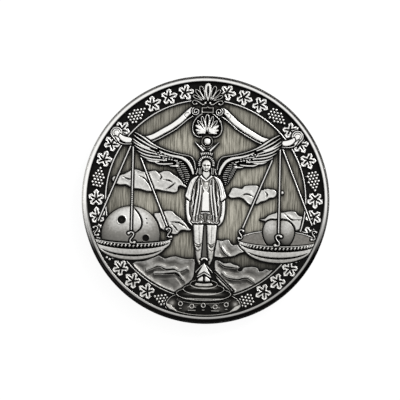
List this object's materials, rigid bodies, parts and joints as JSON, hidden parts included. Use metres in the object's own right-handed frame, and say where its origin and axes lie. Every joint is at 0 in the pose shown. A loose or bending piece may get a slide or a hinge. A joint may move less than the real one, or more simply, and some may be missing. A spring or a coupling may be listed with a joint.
{
  "type": "challenge coin",
  "caption": "Round antique-silver challenge coin with a winged figure and a pair of scales in relief inside a vine-leaf border.",
  "frame": {"origin": "centre of the reverse rim's resting plane, under the middle of the coin", "axes": "+Z out of the obverse, +Y to the top of the scene, +X to the right of the scene"},
  "size_m": [0.04, 0.04, 0.003],
  "materials": {
    "field": "brushed silver plate, oxidised and wiped back",
    "rim": "silver plate, polished on the high edge",
    "bright_relief": "silver plate, high spots polished, oxide left in the cuts",
    "dark_relief": "silver plate under dark oxide",
    "reverse_relief": "silver plate, oxide left in the cuts"
  },
  "bodies": {
    "root": {"blank": "field", "rim_obverse": "rim", "rim_reverse": "rim", "border_line": "bright_relief", "leaf_run_1": "bright_relief", "leaf_run_2": "bright_relief", "leaf_run_3": "bright_relief", "leaf_run_4": "bright_relief", "leaf_run_5": "bright_relief", "leaf_run_6": "bright_relief", "leaf_run_7": "bright_relief", "leaf_run_8": "bright_relief", "grapes_1": "bright_relief", "grapes_2": "bright_relief", "grapes_3": "bright_relief", "grapes_4": "bright_relief", "grapes_5": "bright_relief", "grapes_6": "bright_relief", "grapes_7": "bright_relief", "grapes_8": "bright_relief", "palmette": "bright_relief", "plaque": "bright_relief", "beam_left": "bright_relief", "beam_right": "bright_relief", "finial_left": "bright_relief", "finial_right": "bright_relief", "crest_shell": "bright_relief", "sun_disc": "bright_relief", "crown": "bright_relief", "halo": "bright_relief", "head": "bright_relief", "wing_left": "bright_relief", "wing_right": "bright_relief", "robe": "bright_relief", "sleeve_left": "bright_relief", "sleeve_right": "bright_relief", "forearm_left": "bright_relief", "forearm_right": "bright_relief", "trousers": "bright_relief", "apron": "bright_relief", "feet": "bright_relief", "steps": "dark_relief", "drum": "dark_relief", "drum_rings": "dark_relief", "rods_left": "bright_relief", "rods_right": "bright_relief", "hooks_left": "bright_relief", "hooks_right": "bright_relief", "pan_left": "bright_relief", "pan_right": "bright_relief", "pan_inside": "dark_relief", "planet": "bright_relief", "fruit": "bright_relief", "clouds_left": "bright_relief", "clouds_right": "bright_relief", "ground_ridge": "bright_relief", "reverse_line": "reverse_relief", "reverse_wreath": "reverse_relief"}
  },
  "joints": []
}
